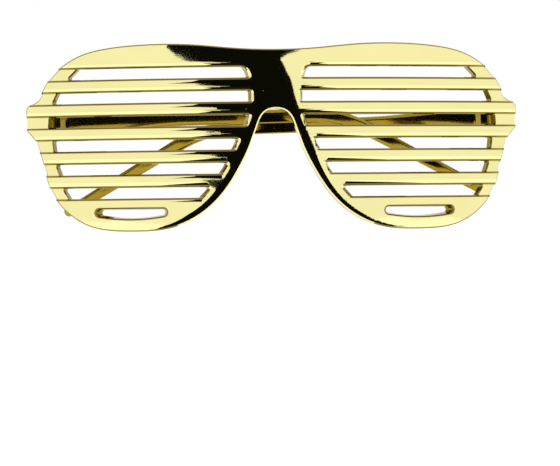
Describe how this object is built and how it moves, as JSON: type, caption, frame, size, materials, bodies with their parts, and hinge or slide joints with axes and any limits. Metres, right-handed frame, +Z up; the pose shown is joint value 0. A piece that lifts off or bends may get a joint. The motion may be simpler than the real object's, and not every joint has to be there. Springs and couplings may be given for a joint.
{
  "type": "slatted novelty glasses",
  "caption": "Slatted novelty glasses: a curved front with horizontal slats in place of lenses, and two folding arms with ear hooks.",
  "frame": {"origin": "middle of the folded pair's foot, on the surface that the lens bottoms stand on", "axes": "+X to the wearer's left, the slatted front faces -Y and the folded arms lie behind it at +Y, +Z up"},
  "size_m": [0.1504, 0.0362, 0.0564],
  "materials": {
    "gold_front": "mirror-bright metallised gold",
    "gold_arms": "bright metallised gold",
    "screw_steel": "bright"
  },
  "bodies": {
    "front": {"front_slats": "gold_front", "hinge_screw_left": "screw_steel", "hinge_screw_right": "screw_steel"},
    "left_arm": {"temple_left": "gold_arms"},
    "right_arm": {"temple_right": "gold_arms"}
  },
  "joints": [
    {"name": "left_arm_fold", "type": "hinge", "parent": "front", "child": "left_arm", "pos_m": [0.0682, 0.00291, 0.03335], "axis": [0.0227, 0, -0.9997], "range_deg": [0, 84.8]},
    {"name": "right_arm_fold", "type": "hinge", "parent": "front", "child": "right_arm", "pos_m": [-0.0682, 0.00291, 0.03335], "axis": [-0.0227, 0, 0.9997], "range_deg": [0, 90]}
  ]
}
